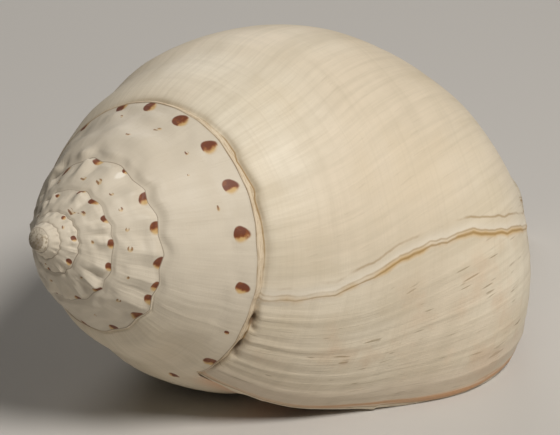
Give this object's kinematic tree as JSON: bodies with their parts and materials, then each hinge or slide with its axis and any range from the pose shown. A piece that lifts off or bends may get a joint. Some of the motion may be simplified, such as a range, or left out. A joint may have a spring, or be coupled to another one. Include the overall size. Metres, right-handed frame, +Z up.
{
  "type": "chank shell",
  "caption": "Right-handed spiral sea shell with a heavy pear-shaped body whorl, a short spire, an open mouth and a siphonal canal.",
  "frame": {"origin": "middle of the bounding box on the surface that the shell rests on", "axes": "+X along the shell from the apex to the end of the canal, +Z up, with the mouth facing down"},
  "size_m": [0.1262, 0.0756, 0.0612],
  "materials": {
    "shell": "satin"
  },
  "bodies": {
    "root": {"shell": "shell"}
  },
  "joints": []
}
